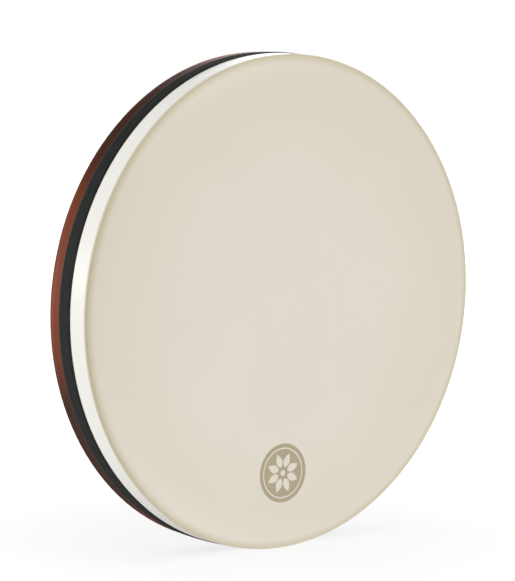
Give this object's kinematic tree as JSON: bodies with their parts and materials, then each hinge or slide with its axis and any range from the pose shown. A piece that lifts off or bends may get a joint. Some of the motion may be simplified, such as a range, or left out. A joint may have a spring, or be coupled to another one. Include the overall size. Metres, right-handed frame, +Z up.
{
  "type": "frame drum",
  "caption": "Shallow round frame drum: a bent-ply wooden shell, a synthetic head over its front edge with a collar down the side, and a woven ribbon over the collar's edge.",
  "frame": {"origin": "below the drum's axis, at the rim's lowest point and half way through the depth, with the drum upright as it is held to be played", "axes": "+Z up, +Y along the drum's axis from the struck face to the open back, +X to the right as seen from the struck face"},
  "size_m": [0.5104, 0.0626, 0.5112],
  "materials": {
    "stained_outer_ply": "reddish-brown stain under satin lacquer",
    "stained_inner_ply": "reddish-brown stain, matt",
    "core_veneer": "stained end grain, matt",
    "film": "cream polyester film, faintly translucent, soft sheen",
    "ribbon": "black woven ribbon with fine cross ribs",
    "emblem_print": "matt olive-beige print"
  },
  "bodies": {
    "root": {"outer_face_ply": "stained_outer_ply", "core_ply_1": "core_veneer", "core_ply_2": "core_veneer", "core_ply_3": "core_veneer", "inner_face_ply": "stained_inner_ply", "drum_head": "film", "trim_ribbon": "ribbon", "head_emblem": "emblem_print"}
  },
  "joints": []
}
